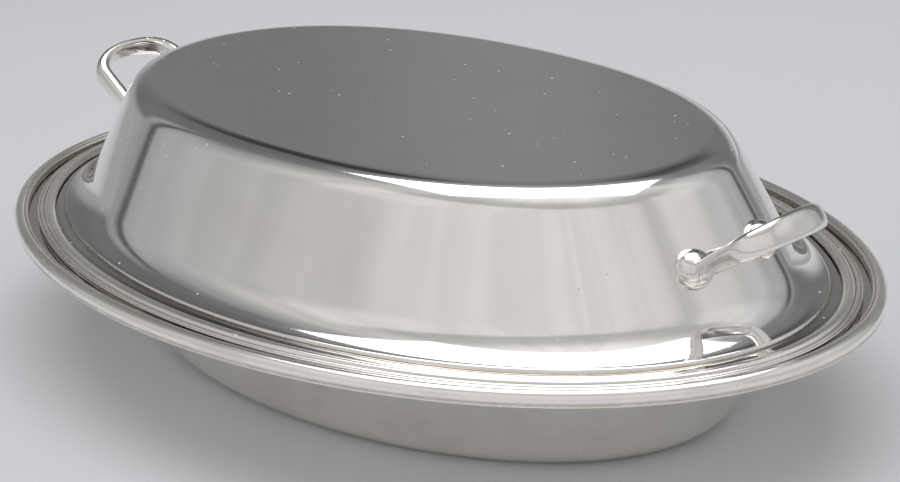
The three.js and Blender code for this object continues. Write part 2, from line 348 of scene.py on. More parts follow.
table_mesh = bpy.data.meshes.new("table")
corners = [(-TABLE_REACH, -TABLE_REACH, 0), (TABLE_REACH, -TABLE_REACH, 0),
           (TABLE_REACH, TABLE_REACH, 0), (-TABLE_REACH, TABLE_REACH, 0)]
table_mesh.from_pydata(corners, [], [(0, 1, 2, 3)])
table = bpy.data.objects.new("table", table_mesh)
bpy.context.scene.collection.objects.link(table)
table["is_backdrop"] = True

table_paint = bpy.data.materials.new("pale table")
table_paint.use_nodes = True
table_tree = table_paint.node_tree
table_shader = table_tree.nodes["Principled BSDF"]
table_place = split_vector(table_tree, add_node(table_tree, "ShaderNodeTexCoord").outputs["Object"])
side_squared = maths(table_tree, "MULTIPLY", table_place[1], table_place[1])
away_squared = maths(table_tree, "MULTIPLY_ADD", table_place[0], table_place[0], side_squared)
# Painted shade: the table's colour goes from the near to the darker far colour with distance from the dish.
painted_shade_share = ramp(table_tree, away_squared, NEAR_REACH ** 2, FAR_REACH ** 2)
feed(table_tree, table_shader.inputs["Base Color"], mixed(table_tree, painted_shade_share, NEAR_COLOUR, FAR_PAINTED_SHADE))
table_shader.inputs["Roughness"].default_value = 0.5
table_mesh.materials.append(table_paint)
print("table reaches", TABLE_REACH, "m each way")

# %% [markdown]
# ## Silver, and what time does to it
#
# New silver is a near perfect mirror. An old dish has been rubbed thousands of times: fine scratches
# that run every way soften it, brown tarnish stays where no cloth reaches, in grooves and corners,
# and some dust lies on it. A painted picture could show all that, but it would have to be wrapped
# round each piece. Patterns on the object's own coordinates need no wrapping, and they stay put on
# the metal. Only the grooves come from the shape: each piece carries an attribute, `groove`, which
# is 1 in a hollow line and 0 on open metal.

# %% Patterns on the metal
HAIRLINES = ((1500, (1, 0.03, 1), 0.5), (1400, (0.03, 1, 1), -0.35))  # scale, stretch, turn
HAIRLINE_EDGE = (0.60, 0.78)
GROOVE_SCALE, GROOVE_EDGE, GROOVE_STAIN = 160, (0.25, 0.6), (0.55, 1.0)
BLOOM_SCALE, BLOOM_EDGE = 55, (0.45, 0.72)
DUST_SCALE, DUST_CHANCE, MOTE_REACH = 230, (0.5, 1.0), 0.10


def metal_noise(tree, place, scale, detail=2.0, stretch=(1, 1, 1), lean=0.0):
    mapping = add_node(tree, "ShaderNodeMapping")
    feed(tree, mapping.inputs["Vector"], place)
    mapping.inputs["Scale"].default_value = stretch
    mapping.inputs["Rotation"].default_value = (0, 0, lean)
    texture = add_node(tree, "ShaderNodeTexNoise")
    feed(tree, texture.inputs["Vector"], mapping.outputs[0])
    texture.inputs["Scale"].default_value = scale
    texture.inputs["Detail"].default_value = detail
    return texture.outputs["Fac"]


def hairlines(tree, place):
    """1 along the fine lines that a polishing cloth leaves, in two directions."""
    first, second = (metal_noise(tree, place, scale, 1, stretch, lean) for scale, stretch, lean in HAIRLINES)
    return ramp(tree, maths(tree, "MAXIMUM", first, second), *HAIRLINE_EDGE)


def tarnish_share(tree, place, tarnish):
    """Brown nearly all along the grooves, and a faint bloom of it in clouds on open metal."""
    groove = add_node(tree, "ShaderNodeAttribute", attribute_name="groove").outputs["Fac"]
    fill = ramp(tree, metal_noise(tree, place, GROOVE_SCALE, 3), *GROOVE_EDGE, *GROOVE_STAIN)
    bloom = ramp(tree, metal_noise(tree, place, BLOOM_SCALE, 4), *BLOOM_EDGE)
    in_groove = maths(tree, "MULTIPLY", groove, fill)
    return maths(tree, "MAXIMUM", in_groove, maths(tree, "MULTIPLY", bloom, tarnish))


def dust_share(tree, place):
    """1 on a mote of dust: about half the cells of a fine pattern hold one, in many sizes."""
    cells = add_node(tree, "ShaderNodeTexVoronoi", distance="EUCLIDEAN", feature="F1")
    feed(tree, cells.inputs["Vector"], place)
    cells.inputs["Scale"].default_value = DUST_SCALE
    chance = split_vector(tree, cells.outputs["Color"])[0]
    reach = maths(tree, "MULTIPLY", ramp(tree, chance, *DUST_CHANCE), MOTE_REACH)
    return maths(tree, "LESS_THAN", cells.outputs["Distance"], reach)


# %% [markdown]
# The finish puts the patterns to work. Scratches, tarnish and dust each make the mirror rougher,
# tarnish browns it, and a mote of dust isn't metal at all. Scratches and pits are a few thousandths
# of a millimetre deep, and the soft dents of a casting a few hundredths. That is too shallow to
# model, so they go through a bump node, whose height is in metres. Moulded wires are never polished
# as bright as open sheet, and their finish is a little less than fully metallic.

# %% Silver finish
BROWN, DUST_GREY = (0.34, 0.27, 0.19, 1), (0.7, 0.7, 0.7, 1)
SCRATCH_ROUGHNESS, TARNISH_ROUGHNESS, DUST_ROUGHNESS = 0.10, 0.22, 0.55
PIT_SCALE, PIT_EDGE = 2600, (0.74, 0.80)
DENT_SCALE, DENT_EDGE, WAVE_SCALE, WAVE_DEPTH = 420, (0.66, 0.76), 260, 0.5
MICRON = 0.000001


def metal_relief(tree, place, lines, scratch, speck, dent):
    """Height in metres of scratches, pits and, on a casting, soft dents."""
    pits = ramp(tree, metal_noise(tree, place, PIT_SCALE, 1), *PIT_EDGE)
    relief = maths(tree, "MULTIPLY_ADD", pits, -speck, maths(tree, "MULTIPLY", lines, -scratch))
    if dent:
        dents = ramp(tree, metal_noise(tree, place, DENT_SCALE, 1), *DENT_EDGE)
        relief = maths(tree, "MULTIPLY_ADD", dents, -dent, relief)
        waves = metal_noise(tree, place, WAVE_SCALE, 2)
        relief = maths(tree, "MULTIPLY_ADD", waves, dent * WAVE_DEPTH, relief)
    return relief


def silver(name, base, roughness, tarnish, scratch, speck, dent=0.0, bare=1.0):
    """A silver finish; scratch, speck and dent are depths in metres, bare is how metallic it is."""
    material = bpy.data.materials.new(name)
    material.use_nodes = True
    tree = material.node_tree
    shader = tree.nodes["Principled BSDF"]
    place = add_node(tree, "ShaderNodeTexCoord").outputs["Object"]
    stain = tarnish_share(tree, place, tarnish)
    lines = hairlines(tree, place)
    mote = dust_share(tree, place)

    rough = maths(tree, "MULTIPLY_ADD", lines, SCRATCH_ROUGHNESS, roughness)
    rough = maths(tree, "MULTIPLY_ADD", stain, TARNISH_ROUGHNESS, rough)
    feed(tree, shader.inputs["Roughness"], maths(tree, "MULTIPLY_ADD", mote, DUST_ROUGHNESS, rough))
    feed(tree, shader.inputs["Metallic"], maths(tree, "MULTIPLY_ADD", mote, -bare, bare))
    worn = mixed(tree, stain, base, BROWN)
    feed(tree, shader.inputs["Base Color"], mixed(tree, mote, worn, DUST_GREY))

    bump = add_node(tree, "ShaderNodeBump")
    bump.inputs["Strength"].default_value = 1.0
    bump.inputs["Distance"].default_value = 1.0
    feed(tree, bump.inputs["Height"], metal_relief(tree, place, lines, scratch, speck, dent))
    feed(tree, shader.inputs["Normal"], bump.outputs[0])
    return material


# %% [markdown]
# Four finishes come from the one function. The lower dish is less rubbed than the cover, so it is
# duller and a little yellower. The wires are small and keep tarnish in their grooves, and only the
# castings have dents.

# %% The dish's finishes
polished_silver = silver("polished silver sheet", (0.93, 0.92, 0.905, 1), roughness=0.035, tarnish=0.05,
                         scratch=1.5 * MICRON, speck=3 * MICRON)
dish_silver = silver("less rubbed silver sheet", (0.93, 0.91, 0.84, 1), roughness=0.09, tarnish=0.12,
                     scratch=2 * MICRON, speck=3 * MICRON)
wire_silver = silver("moulded silver wire", (0.94, 0.92, 0.885, 1), roughness=0.14, tarnish=0.15,
                     scratch=1 * MICRON, speck=1 * MICRON, bare=0.84)
cast_silver = silver("cast silver", (0.91, 0.895, 0.87, 1), roughness=0.10, tarnish=0.20,
                     scratch=2 * MICRON, speck=6 * MICRON, dent=40 * MICRON)
for finish in (polished_silver, dish_silver, wire_silver, cast_silver):
    print("finish:", finish.name, "nodes:", len(finish.node_tree.nodes))

# %% [markdown]
# ## Raised bowls and moulded wires
#
# Bowls and wires follow one rule: a section drawn from the rim inwards is carried round the oval.
# So one Geometry Nodes tree makes all four. It takes the section as a line of points, lays a grid
# with a row for each point and a column for each step round, and moves every grid point to its place.
# A lathe would make a circle; here the width follows its own rule, which keeps the rim's band even
# and draws the walls in more slowly along the sides than at the ends.

# %% Tree inputs
TREE_INPUTS = (
    ("Columns", "Int"), ("Half length", "Float"), ("Half width", "Float"), ("Rim band", "Float"),
    ("Side rate", "Float"), ("Flat inset", "Float"), ("Fullness", "Float"),
    ("Unevenness", "Float"), ("Uneven scale", "Float"), ("Finish", "Material"),
)


def named_inputs(tree):
    """Adds the tree's inputs and output, and gives the identifier by which each input is set."""
    face = tree.interface
    face.new_socket("Section", in_out="INPUT", socket_type="NodeSocketGeometry")
    sockets = {}
    for name, kind in TREE_INPUTS:
        socket = face.new_socket(name, in_out="INPUT", socket_type="NodeSocket" + kind)
        sockets[name] = socket.identifier
    face.new_socket("Piece", in_out="OUTPUT", socket_type="NodeSocketGeometry")
    return sockets


# %% [markdown]
# The grid has one column more than there are steps round, so that the last column falls on the
# first and is welded to it. A grid point knows only its own number. Divided by the columns in whole
# numbers it gives the row, which is the point of the section, and what is left over is the column.

# %% Grid over a section
def whole(tree, operation, first, second):
    node = add_node(tree, "FunctionNodeIntegerMath", operation=operation)
    feed(tree, node.inputs[0], first)
    feed(tree, node.inputs[1], second)
    return node.outputs[0]


def section_grid(tree, given):
    """The grid, and for each of its points the row and the share of the way round the oval."""
    size = add_node(tree, "GeometryNodeAttributeDomainSize", component="MESH")
    feed(tree, size.inputs[0], given["Section"])
    columns = whole(tree, "ADD", given["Columns"], 1)
    grid = add_node(tree, "GeometryNodeMeshGrid")
    feed(tree, grid.inputs["Vertices X"], size.outputs["Point Count"])
    feed(tree, grid.inputs["Vertices Y"], columns)
    index = add_node(tree, "GeometryNodeInputIndex").outputs[0]
    row = whole(tree, "DIVIDE_FLOOR", index, columns)
    share = maths(tree, "DIVIDE", whole(tree, "MODULO", index, columns), given["Columns"])
    return grid.outputs["Mesh"], row, share


def from_section(tree, given, row, data_type, value):
    """What the section holds at the point that a row stands for."""
    node = add_node(tree, "GeometryNodeSampleIndex", data_type=data_type, domain="POINT")
    feed(tree, node.inputs["Geometry"], given["Section"])
    feed(tree, node.inputs["Value"], value)
    feed(tree, node.inputs["Index"], row)
    return node.outputs[0]


# %% [markdown]
# The width's rule has three parts. Across the rim band the sides move in as fast as the ends, so the
# band is equally wide all round. Down the wall they move in at the side rate. On the flat, the rings
# shrink to one point and keep the shape of the flat's edge, so that none of them cross.

# %% The oval's rule
def side_inset(tree, given, depth):
    """How far in a ring stands at the sides that is so far in at the ends."""
    band = maths(tree, "MINIMUM", depth, given["Rim band"])
    rest = maths(tree, "MAXIMUM", maths(tree, "SUBTRACT", depth, given["Rim band"]), 0.0)
    return maths(tree, "MULTIPLY_ADD", rest, given["Side rate"], band)


def half_width(tree, given, inset, radius):
    """Half width of a ring. On the flat, every ring has the shape of the flat's own edge."""
    on_wall = maths(tree, "SUBTRACT", given["Half width"], side_inset(tree, given, inset))
    flat_side = side_inset(tree, given, given["Flat inset"])
    flat_width = maths(tree, "SUBTRACT", given["Half width"], flat_side)
    flat_length = maths(tree, "SUBTRACT", given["Half length"], given["Flat inset"])
    on_flat = maths(tree, "MULTIPLY", radius, maths(tree, "DIVIDE", flat_width, flat_length))
    pick = add_node(tree, "ShaderNodeMix", data_type="FLOAT")
    feed(tree, pick.inputs[0], maths(tree, "GREATER_THAN", inset, given["Flat inset"]))
    feed(tree, pick.inputs[2], on_wall)
    feed(tree, pick.inputs[3], on_flat)
    return pick.outputs[0]


def oval_place(tree, given, inset, height, share):
    """Where a grid point goes. The swell makes the oval fuller than an ellipse at its corners."""
    radius = maths(tree, "SUBTRACT", given["Half length"], inset)
    width = half_width(tree, given, inset, radius)
    angle = maths(tree, "MULTIPLY", share, 2 * math.pi)
    corner = maths(tree, "POWER", maths(tree, "SINE", maths(tree, "MULTIPLY", angle, 2.0)), 2.0)
    fullness = ramp(tree, inset, given["Rim band"], given["Flat inset"], 0.0, given["Fullness"])
    swell = maths(tree, "MULTIPLY_ADD", corner, fullness, 1.0)
    place = add_node(tree, "ShaderNodeCombineXYZ")
    for axis, reach, circle in ((0, radius, "COSINE"), (1, width, "SINE")):
        swollen = maths(tree, "MULTIPLY", reach, swell)
        feed(tree, place.inputs[axis], maths(tree, "MULTIPLY", swollen, maths(tree, circle, angle)))
    feed(tree, place.inputs[2], height)
    return place.outputs[0]


# %% [markdown]
# Hand-raised metal wanders a little from its rule, and a mirror shows every wave of it. So a slow
# noise moves the welded grid by up to a twentieth of a millimetre on a bowl, and less on a wire.
# Smooth shading then hides the facets, but not across a sharp bend, where the metal has a real edge.

# %% Hand work and shading
WELD_REACH = 0.000002
CREASE = math.radians(32)


def uneven(tree, given, geometry):
    wave = add_node(tree, "ShaderNodeTexNoise")
    feed(tree, wave.inputs["Vector"], add_node(tree, "GeometryNodeInputPosition").outputs[0])
    feed(tree, wave.inputs["Scale"], given["Uneven scale"])
    wave.inputs["Detail"].default_value = 1.0
    centred = add_node(tree, "ShaderNodeVectorMath", operation="SUBTRACT")
    feed(tree, centred.inputs[0], wave.outputs["Color"])
    centred.inputs[1].default_value = (0.5, 0.5, 0.5)
    moved = add_node(tree, "GeometryNodeSetPosition")
    feed(tree, moved.inputs["Geometry"], geometry)
    feed(tree, moved.inputs["Offset"], scaled_vector(tree, centred.outputs[0], given["Unevenness"]))
    return moved.outputs[0]


def smooth_to_creases(tree, geometry):
    edges = add_node(tree, "GeometryNodeSetShadeSmooth", domain="EDGE")
    feed(tree, edges.inputs["Geometry"], geometry)
    bend = add_node(tree, "GeometryNodeInputMeshEdgeAngle").outputs["Unsigned Angle"]
    feed(tree, edges.inputs["Shade Smooth"], maths(tree, "LESS_THAN", bend, CREASE))
    faces = add_node(tree, "GeometryNodeSetShadeSmooth", domain="FACE")
    feed(tree, faces.inputs["Geometry"], edges.outputs[0])
    return faces.outputs[0]


# %% Spinning tree
def spun_oval_tree():
    tree = bpy.data.node_groups.new("spun oval", "GeometryNodeTree")
    sockets = named_inputs(tree)
    given = add_node(tree, "NodeGroupInput").outputs
    grid, row, share = section_grid(tree, given)
    section_place = add_node(tree, "GeometryNodeInputPosition").outputs[0]
    point = split_vector(tree, from_section(tree, given, row, "FLOAT_VECTOR", section_place))
    put = add_node(tree, "GeometryNodeSetPosition")
    feed(tree, put.inputs["Geometry"], grid)
    feed(tree, put.inputs["Position"], oval_place(tree, given, point[0], point[2], share))

    section_groove = add_node(tree, "GeometryNodeInputNamedAttribute", data_type="FLOAT")
    section_groove.inputs["Name"].default_value = "groove"
    groove = from_section(tree, given, row, "FLOAT", section_groove.outputs[0])
    store = add_node(tree, "GeometryNodeStoreNamedAttribute", data_type="FLOAT", domain="POINT")
    feed(tree, store.inputs["Geometry"], put.outputs[0])
    store.inputs["Name"].default_value = "groove"
    feed(tree, store.inputs["Value"], groove)

    weld = add_node(tree, "GeometryNodeMergeByDistance")
    feed(tree, weld.inputs["Geometry"], store.outputs[0])
    weld.inputs["Distance"].default_value = WELD_REACH
    shell = smooth_to_creases(tree, uneven(tree, given, weld.outputs[0]))
    real = add_node(tree, "GeometryNodeRealizeInstances")
    feed(tree, real.inputs[0], shell)
    finish = add_node(tree, "GeometryNodeSetMaterial")
    feed(tree, finish.inputs["Geometry"], real.outputs[0])
    feed(tree, finish.inputs["Material"], given["Finish"])
    feed(tree, add_node(tree, "NodeGroupOutput").inputs[0], finish.outputs[0])
    return tree, sockets


spin_tree, spin_sockets = spun_oval_tree()
print("spinning tree:", len(spin_tree.nodes), "nodes")

# %% [markdown]
# The section is a loose line mesh: x is the distance in from the rim and z the height. Straight
# stretches are cut into short steps so that reflections bend smoothly, and arcs get more steps the
# tighter they are. A point's third number says how deep in a groove it lies.

# %% Section helpers
def arc(centre, radius, start, end, steps):
    """Points on an arc in a section; angles in half turns from the inset axis."""
    points = []
    for i in range(steps + 1):
        angle = math.pi * (start + (end - start) * i / steps)
        points.append((centre[0] + radius * math.cos(angle), centre[1] + radius * math.sin(angle), 0.0))
    return points


def through(points, steps=5):
    """A smooth line through the points given, each of them (inset, height, groove)."""
    ends = [points[0]] + points + [points[-1]]
    line = []
    for a, b, c, d in zip(ends, ends[1:], ends[2:], ends[3:]):
        for i in range(steps):
            t = i / steps
            line.append(tuple(
                q + 0.5 * t * (r - p + t * (2 * p - 5 * q + 4 * r - s + t * (3 * (q - r) + s - p)))
                for p, q, r, s in zip(a, b, c, d)
            ))
    return line + [points[-1]]


def stepped(points, longest):
    """The same line, with its long straight stretches cut into steps."""
    cut = [points[0]]
    for a, b in zip(points, points[1:]):
        count = max(1, math.ceil(math.dist(a[:2], b[:2]) / longest))
        for i in range(1, count + 1):
            cut.append(tuple(p + (q - p) * i / count for p, q in zip(a, b)))
    return cut


# %% [markdown]
# A modifier's inputs are set by identifier before the object is first evaluated. The result is then
# turned into a plain mesh and the source removed, so that each piece is one finished mesh. The
# volume tells which way the faces point: where it comes out negative, the shell is inside out.

# %% Spinning a section
HALF_LENGTH, HALF_WIDTH = 150.0, 101.0
RIM_BAND = 15.0
UNEVEN_SCALE = 22.0
SHEET_WORK = {"columns": 320, "longest": 3.0, "unevenness": 0.10}
WIRE_WORK = {"columns": 640, "longest": 1.5, "unevenness": 0.03}


def plain_mesh(source, name):
    """A new object with the evaluated mesh of another, which is removed."""
    evaluated = source.evaluated_get(bpy.context.evaluated_depsgraph_get())
    mesh = bpy.data.meshes.new_from_object(evaluated)
    mesh.name = name
    bpy.data.objects.remove(source)
    piece = bpy.data.objects.new(name, mesh)
    bpy.context.scene.collection.objects.link(piece)
    return piece


def signed_volume(mesh):
    mesh.calc_loop_triangles()
    points = mesh.vertices
    return sum(points[a].co.dot(points[b].co.cross(points[c].co)) / 6
               for a, b, c in (t.vertices for t in mesh.loop_triangles))


def spin(name, section, oval, finish, columns, longest, unevenness):
    """One closed piece from a section; longest is the longest step along the section, in mm."""
    line = stepped(section, longest)
    mesh = bpy.data.meshes.new(name + " section")
    edges = [(i, i + 1) for i in range(len(line) - 1)]
    mesh.from_pydata([(inset * MM, 0, level * MM) for inset, level, _ in line], edges, [])
    mesh.attributes.new("groove", "FLOAT", "POINT").data.foreach_set("value", [p[2] for p in line])
    source = bpy.data.objects.new(name + " section", mesh)
    bpy.context.scene.collection.objects.link(source)
    modifier = source.modifiers.new("spin", "NODES")
    modifier.node_group = spin_tree
    sizes = {
        "Columns": columns, "Half length": HALF_LENGTH * MM, "Half width": HALF_WIDTH * MM,
        "Rim band": RIM_BAND * MM, "Side rate": oval["side_rate"],
        "Flat inset": oval["flat_inset"] * MM, "Fullness": oval["fullness"],
        "Unevenness": unevenness * MM, "Uneven scale": UNEVEN_SCALE, "Finish": finish,
    }
    for label, value in sizes.items():
        modifier[spin_sockets[label]] = value
    piece = plain_mesh(source, name)
    if signed_volume(piece.data) < 0:
        piece.data.flip_normals()
    print(name, "section points", len(line), "faces", len(piece.data.polygons),
          "volume", round(signed_volume(piece.data) * 1e6, 2), "cm3")
    return piece


# %% [markdown]
# ## The lower dish
#
# One sheet, 1 mm thick: a flat flange, a hollow cove under it, a wall that leans 30 degrees, a
# rounded corner and a flat base. Both faces of the sheet are drawn by one function, the outer one
# with no depth and the inner one a sheet's thickness deep, and joined at the flange and in the
# middle of the base.

# %% Lower dish
SHEET, SEAM = 1.0, 0.3
COVE_RADIUS, COVE_STEPS = 18.9, 22
DISH_LEAN = 30 / 180  # in half turns, from the vertical
DISH_FLANGE_TOP, DISH_FLANGE_EDGE = 38.0, 1.8
DISH_CORNER, DISH_CORNER_STEPS, DISH_WALL_FOOT = 12.0, 18, 45.8
QUARTER = 0.5  # of a turn, written in half turns as all angles of a section are


def corner_take(lean):
    """What a corner of radius 1, from a leaning wall to level, takes of the wall's foot."""
    return math.tan(math.pi * (QUARTER - lean) / 2)


dish_oval = {
    "flat_inset": DISH_WALL_FOOT + DISH_CORNER * corner_take(DISH_LEAN),
    "side_rate": 0.78,
    "fullness": 0.0,
}


def dish_side(depth):
    """One face of the sheet, from flange to base; depth is the distance in from the outside."""
    flange_height = DISH_FLANGE_TOP - SHEET + depth
    lean = math.pi * DISH_LEAN
    cove_height = DISH_FLANGE_TOP - SHEET - COVE_RADIUS
    end_height = cove_height + COVE_RADIUS * math.sin(lean)
    cove_inset = DISH_WALL_FOOT - end_height * math.tan(lean) - COVE_RADIUS * math.cos(lean)
    cove = arc((cove_inset, cove_height), COVE_RADIUS + depth, QUARTER, DISH_LEAN, COVE_STEPS)
    corner = arc((dish_oval["flat_inset"], DISH_CORNER), DISH_CORNER - depth,
                 2 * QUARTER + DISH_LEAN, 3 * QUARTER, DISH_CORNER_STEPS)
    return [(DISH_FLANGE_EDGE, flange_height, 0.0)] + cove + corner


dish_outside = [(HALF_LENGTH, 0, 0)] + dish_side(0)[::-1]
dish_inside = dish_side(SHEET) + [(HALF_LENGTH, SHEET, 0)]
dish_bowl = spin("raised_dish", dish_outside + dish_inside, dish_oval, dish_silver, **SHEET_WORK)

# %% [markdown]
# The wire soldered over the dish's edge hides the sheet's cut. Its section has a foot line, a broad
# bead, a dark groove and a fine thread inside it, drawn as a smooth line through a few points.

# %% Dish wire
dish_wire_line = [
    (0.7, 36.4, 0.3), (0.45, 36.7, 0.0), (0.6, 37.2, 0.6), (0.15, 38.1, 0.0), (0.0, 38.8, 0.0),
    (0.12, 39.4, 0.0), (0.45, 40.0, 0.0), (0.95, 40.5, 0.0), (1.6, 40.85, 0.0), (2.3, 41.0, 0.0),
    (2.85, 40.85, 0.0), (3.15, 40.6, 0.1), (3.38, 40.35, 0.9), (3.62, 40.4, 0.1), (3.95, 40.38, 0.0),
    (4.25, 40.15, 0.0), (4.4, 39.8, 0.3),
]
DISH_WIRE_INNER_EDGE = 4.5
seat = DISH_FLANGE_TOP + SEAM
outer_seat = DISH_FLANGE_EDGE - SEAM
dish_wire_foot = (outer_seat, dish_wire_line[0][1], 0.3)
dish_wire_seat = [(DISH_WIRE_INNER_EDGE, seat, 1.0), (outer_seat, seat, 0.5)]
dish_wire_section = [dish_wire_foot] + through(dish_wire_line) + dish_wire_seat + [dish_wire_foot]
dish_wire = spin("dish_wire", dish_wire_section, dish_oval, wire_silver, **WIRE_WORK)

# %% [markdown]
# ## The cover
#
# The same kind of sheet, turned over: a flange that rests on the dish's, a shallow channel with a
# short riser, the cove, a wall that leans 32 degrees, a rounded shoulder and the flat top.

# %% Cover's wall
COVER_LEAN = 32 / 180
COVER_UNDERSIDE = DISH_FLANGE_TOP + SEAM
COVER_FLANGE_TOP = COVER_UNDERSIDE + SHEET
COVE_START, COVE_SLOPE = (16.4, 41.35), 18 / 180
HEIGHT, SHOULDER, SHOULDER_STEPS = 80.7, 12.3, 26
cove_centre = (COVE_START[0] - COVE_RADIUS * math.sin(math.pi * COVE_SLOPE),
               COVE_START[1] + COVE_RADIUS * math.cos(math.pi * COVE_SLOPE))
cove_end_inset = cove_centre[0] + COVE_RADIUS * math.cos(math.pi * COVER_LEAN)
cove_end_height = cove_centre[1] - COVE_RADIUS * math.sin(math.pi * COVER_LEAN)


def cover_wall_inset(level):
    """How far in the straight wall stands at a height."""
    return cove_end_inset + (level - cove_end_height) * math.tan(math.pi * COVER_LEAN)


cover_oval = {
    "flat_inset": cover_wall_inset(HEIGHT) + SHOULDER * corner_take(COVER_LEAN),
    "side_rate": 0.816,
    "fullness": 0.0245,
}


def cover_wall(depth):
    """One face of the sheet, from the foot of the cove to the flat top."""
    cove = arc(cove_centre, COVE_RADIUS + depth, COVE_SLOPE - QUARTER, -COVER_LEAN, COVE_STEPS)
    shoulder = arc((cover_oval["flat_inset"], HEIGHT - SHOULDER), SHOULDER - depth,
                   2 * QUARTER - COVER_LEAN, QUARTER, SHOULDER_STEPS)
    return cove + shoulder


print("cover's flat starts", round(cover_oval["flat_inset"], 2), "mm in from the rim")

# %% Cover
COVER_FLANGE_EDGE, COVER_FLAT_END = 6.8, 12.4
STEP_FOOT = (15.3, 40.0)
CHANNEL_EDGE = 0.4  # tarnish gathers from so far outside the channel
channel = [(COVER_FLAT_END, COVER_FLANGE_TOP, 0.6), (13.2, 39.6, 0.15), (14.3, 39.8, 0.1), (15.0, 39.9, 0.25)]
riser = [(15.4, 40.6, 0.1), (15.65, 41.05, 0.0), (16.0, 41.25, 0.0)]
cover_outside = (
    [(COVER_FLANGE_EDGE, COVER_FLANGE_TOP, 0.2), (COVER_FLAT_END - CHANNEL_EDGE, COVER_FLANGE_TOP, 0.6)]
    + through(channel) + [(*STEP_FOOT, 0.7)] + through(riser, 4) + cover_wall(0)
)
cover_inside = cover_wall(SHEET)[::-1] + [
    (STEP_FOOT[0] + SHEET / 2, STEP_FOOT[1] - SHEET, 0.0),
    (COVER_FLAT_END + SHEET / 2, COVER_UNDERSIDE, 0.0),
    (COVER_FLANGE_EDGE, COVER_UNDERSIDE, 0.0),
]
cover_section = [(HALF_LENGTH, HEIGHT - SHEET, 0)] + cover_inside + cover_outside + [(HALF_LENGTH, HEIGHT, 0)]
cover_bowl = spin("raised_cover", cover_section, cover_oval, polished_silver, **SHEET_WORK)

# %% [markdown]
# The cover's own wire is lower than the dish's and stands inside it: an edge bead and a fine thread,
# then a broad soft moulding that runs down to the flange.

# %% Cover wire
cover_wire_line = [
    (6.5, 39.85, 0.0), (6.8, 40.1, 0.0), (7.1, 39.9, 0.1), (7.25, 39.75, 0.9), (7.5, 40.1, 0.0),
    (7.9, 40.3, 0.0), (8.3, 40.15, 0.0), (8.55, 39.85, 1.0), (8.8, 40.2, 0.1), (9.3, 40.7, 0.0),
    (9.95, 40.9, 0.0), (10.7, 40.85, 0.0), (11.4, 40.6, 0.0), (12.0, 40.2, 0.0),
]
cover_seat = COVER_FLANGE_TOP + SEAM
cover_wire_edge = (cover_wire_line[0][0], cover_seat, 0.6)
cover_wire_end = (COVER_FLAT_END - SEAM, cover_seat, 0.8)
cover_wire_section = [cover_wire_edge] + through(cover_wire_line) + [cover_wire_end, cover_wire_edge]
cover_wire = spin("cover_wire", cover_wire_section, cover_oval, wire_silver, **WIRE_WORK)

# %% [markdown]
# ## The cast handles
#
# Each handle is one casting: a strap that grows wider and thinner towards the middle of its bar, on
# two feet that swell into rounded lobes where they meet the wall. The strap is a loft of rings along
# its middle line: two straight shanks and an arched bar, squarer than half an ellipse. The rings
# stand close together near the feet, where the lobes need them, and wider apart along the bar.

# %% Strap's middle line
HALF_SPAN, REACH, BEND_START, BEND_SQUARENESS = 14.8, 25.3, 16.0, 2.25
SHANK_START, BEND_STEPS = -1.5, 720
FOOT_LENGTH, FOOT_STEP, BAR_STEP = 8, 0.16, 0.5


def squarer(value, power):
    """Turns a circle's cosine or sine into that of a squarer oval; a power of 2 keeps the circle."""
    return math.copysign(abs(value) ** (2 / power), value)


def along_line(line, lengths, wanted):
    """The point of a line at a length from its start, given the length up to each of its points."""
    k = max(bisect_left(lengths, wanted) - 1, 0)
    share = (wanted - lengths[k]) / (lengths[k + 1] - lengths[k])
    return tuple(a + (b - a) * share for a, b in zip(line[k], line[k + 1]))


def strap_line():
    """Stations along the strap: to the side, out from the wall, and the share of its length."""
    line = [(HALF_SPAN, SHANK_START)]
    for i in range(BEND_STEPS + 1):
        angle = math.pi * i / BEND_STEPS
        side = HALF_SPAN * squarer(math.cos(angle), BEND_SQUARENESS)
        rise = (REACH - BEND_START) * squarer(math.sin(angle), BEND_SQUARENESS)
        line.append((side, BEND_START + rise))
    line.append((-HALF_SPAN, SHANK_START))
    lengths = [0.0]
    for a, b in zip(line, line[1:]):
        lengths.append(lengths[-1] + math.dist(a, b))
    total = lengths[-1]
    wanted, at = [], 0.0
    while at < total / 2:
        wanted.append(at)
        at += FOOT_STEP if at < FOOT_LENGTH else BAR_STEP
    wanted += [total / 2] + [total - w for w in reversed(wanted)]
    return [(*along_line(line, lengths, w), w / total) for w in wanted]


stations = strap_line()
print("strap stations:", len(stations))

# %% [markdown]
# Near a foot each ring point takes whichever is further out, the strap's edge or the lobe's ball,
# with a smooth change between the two, so the lobe and the shank run into each other as they do in a
# casting. How far the ball reaches in a direction follows from one equation of second degree.

# %% Lobes
LOBE = (5.4, 5.2, 5.6)  # half sizes to the side, out and up
LOBE_SPAN, LOBE_RISE, LOBE_SINK = 13.6, 1.3, -1.2
LOBE_END, LOBE_BLEND = 6, 1.2


def lobe_reach(side, out, direction):
    """How far the lobe's ball reaches from a point of the middle line in a direction, or 0."""
    centre = (math.copysign(LOBE_SPAN, side), LOBE_SINK, LOBE_RISE)
    start = [(x - c) / size for x, c, size in zip((side, out, 0), centre, LOBE)]
    step = [x / size for x, size in zip(direction, LOBE)]
    square = sum(x * x for x in step)
    half_linear = sum(x * y for x, y in zip(start, step))
    constant = sum(x * x for x in start) - 1
    inside = half_linear * half_linear - square * constant
    return (-half_linear + math.sqrt(inside)) / square if inside > 0 else 0.0


def blended(first, second, reach):
    """The larger of two lengths, with a rounded change where they are nearly equal."""
    share = min(max(0.5 + 0.5 * (first - second) / reach, 0.0), 1.0)
    return second + (first - second) * share + reach * share * (1 - share)


# %% [markdown]
# A ring is the strap's section at one station, a rounded oblong: thick and narrow at the feet, thin
# and wide in the middle of the bar. It is drawn by direction and distance from the middle line, so
# that the lobe's distance can take over where it is larger.

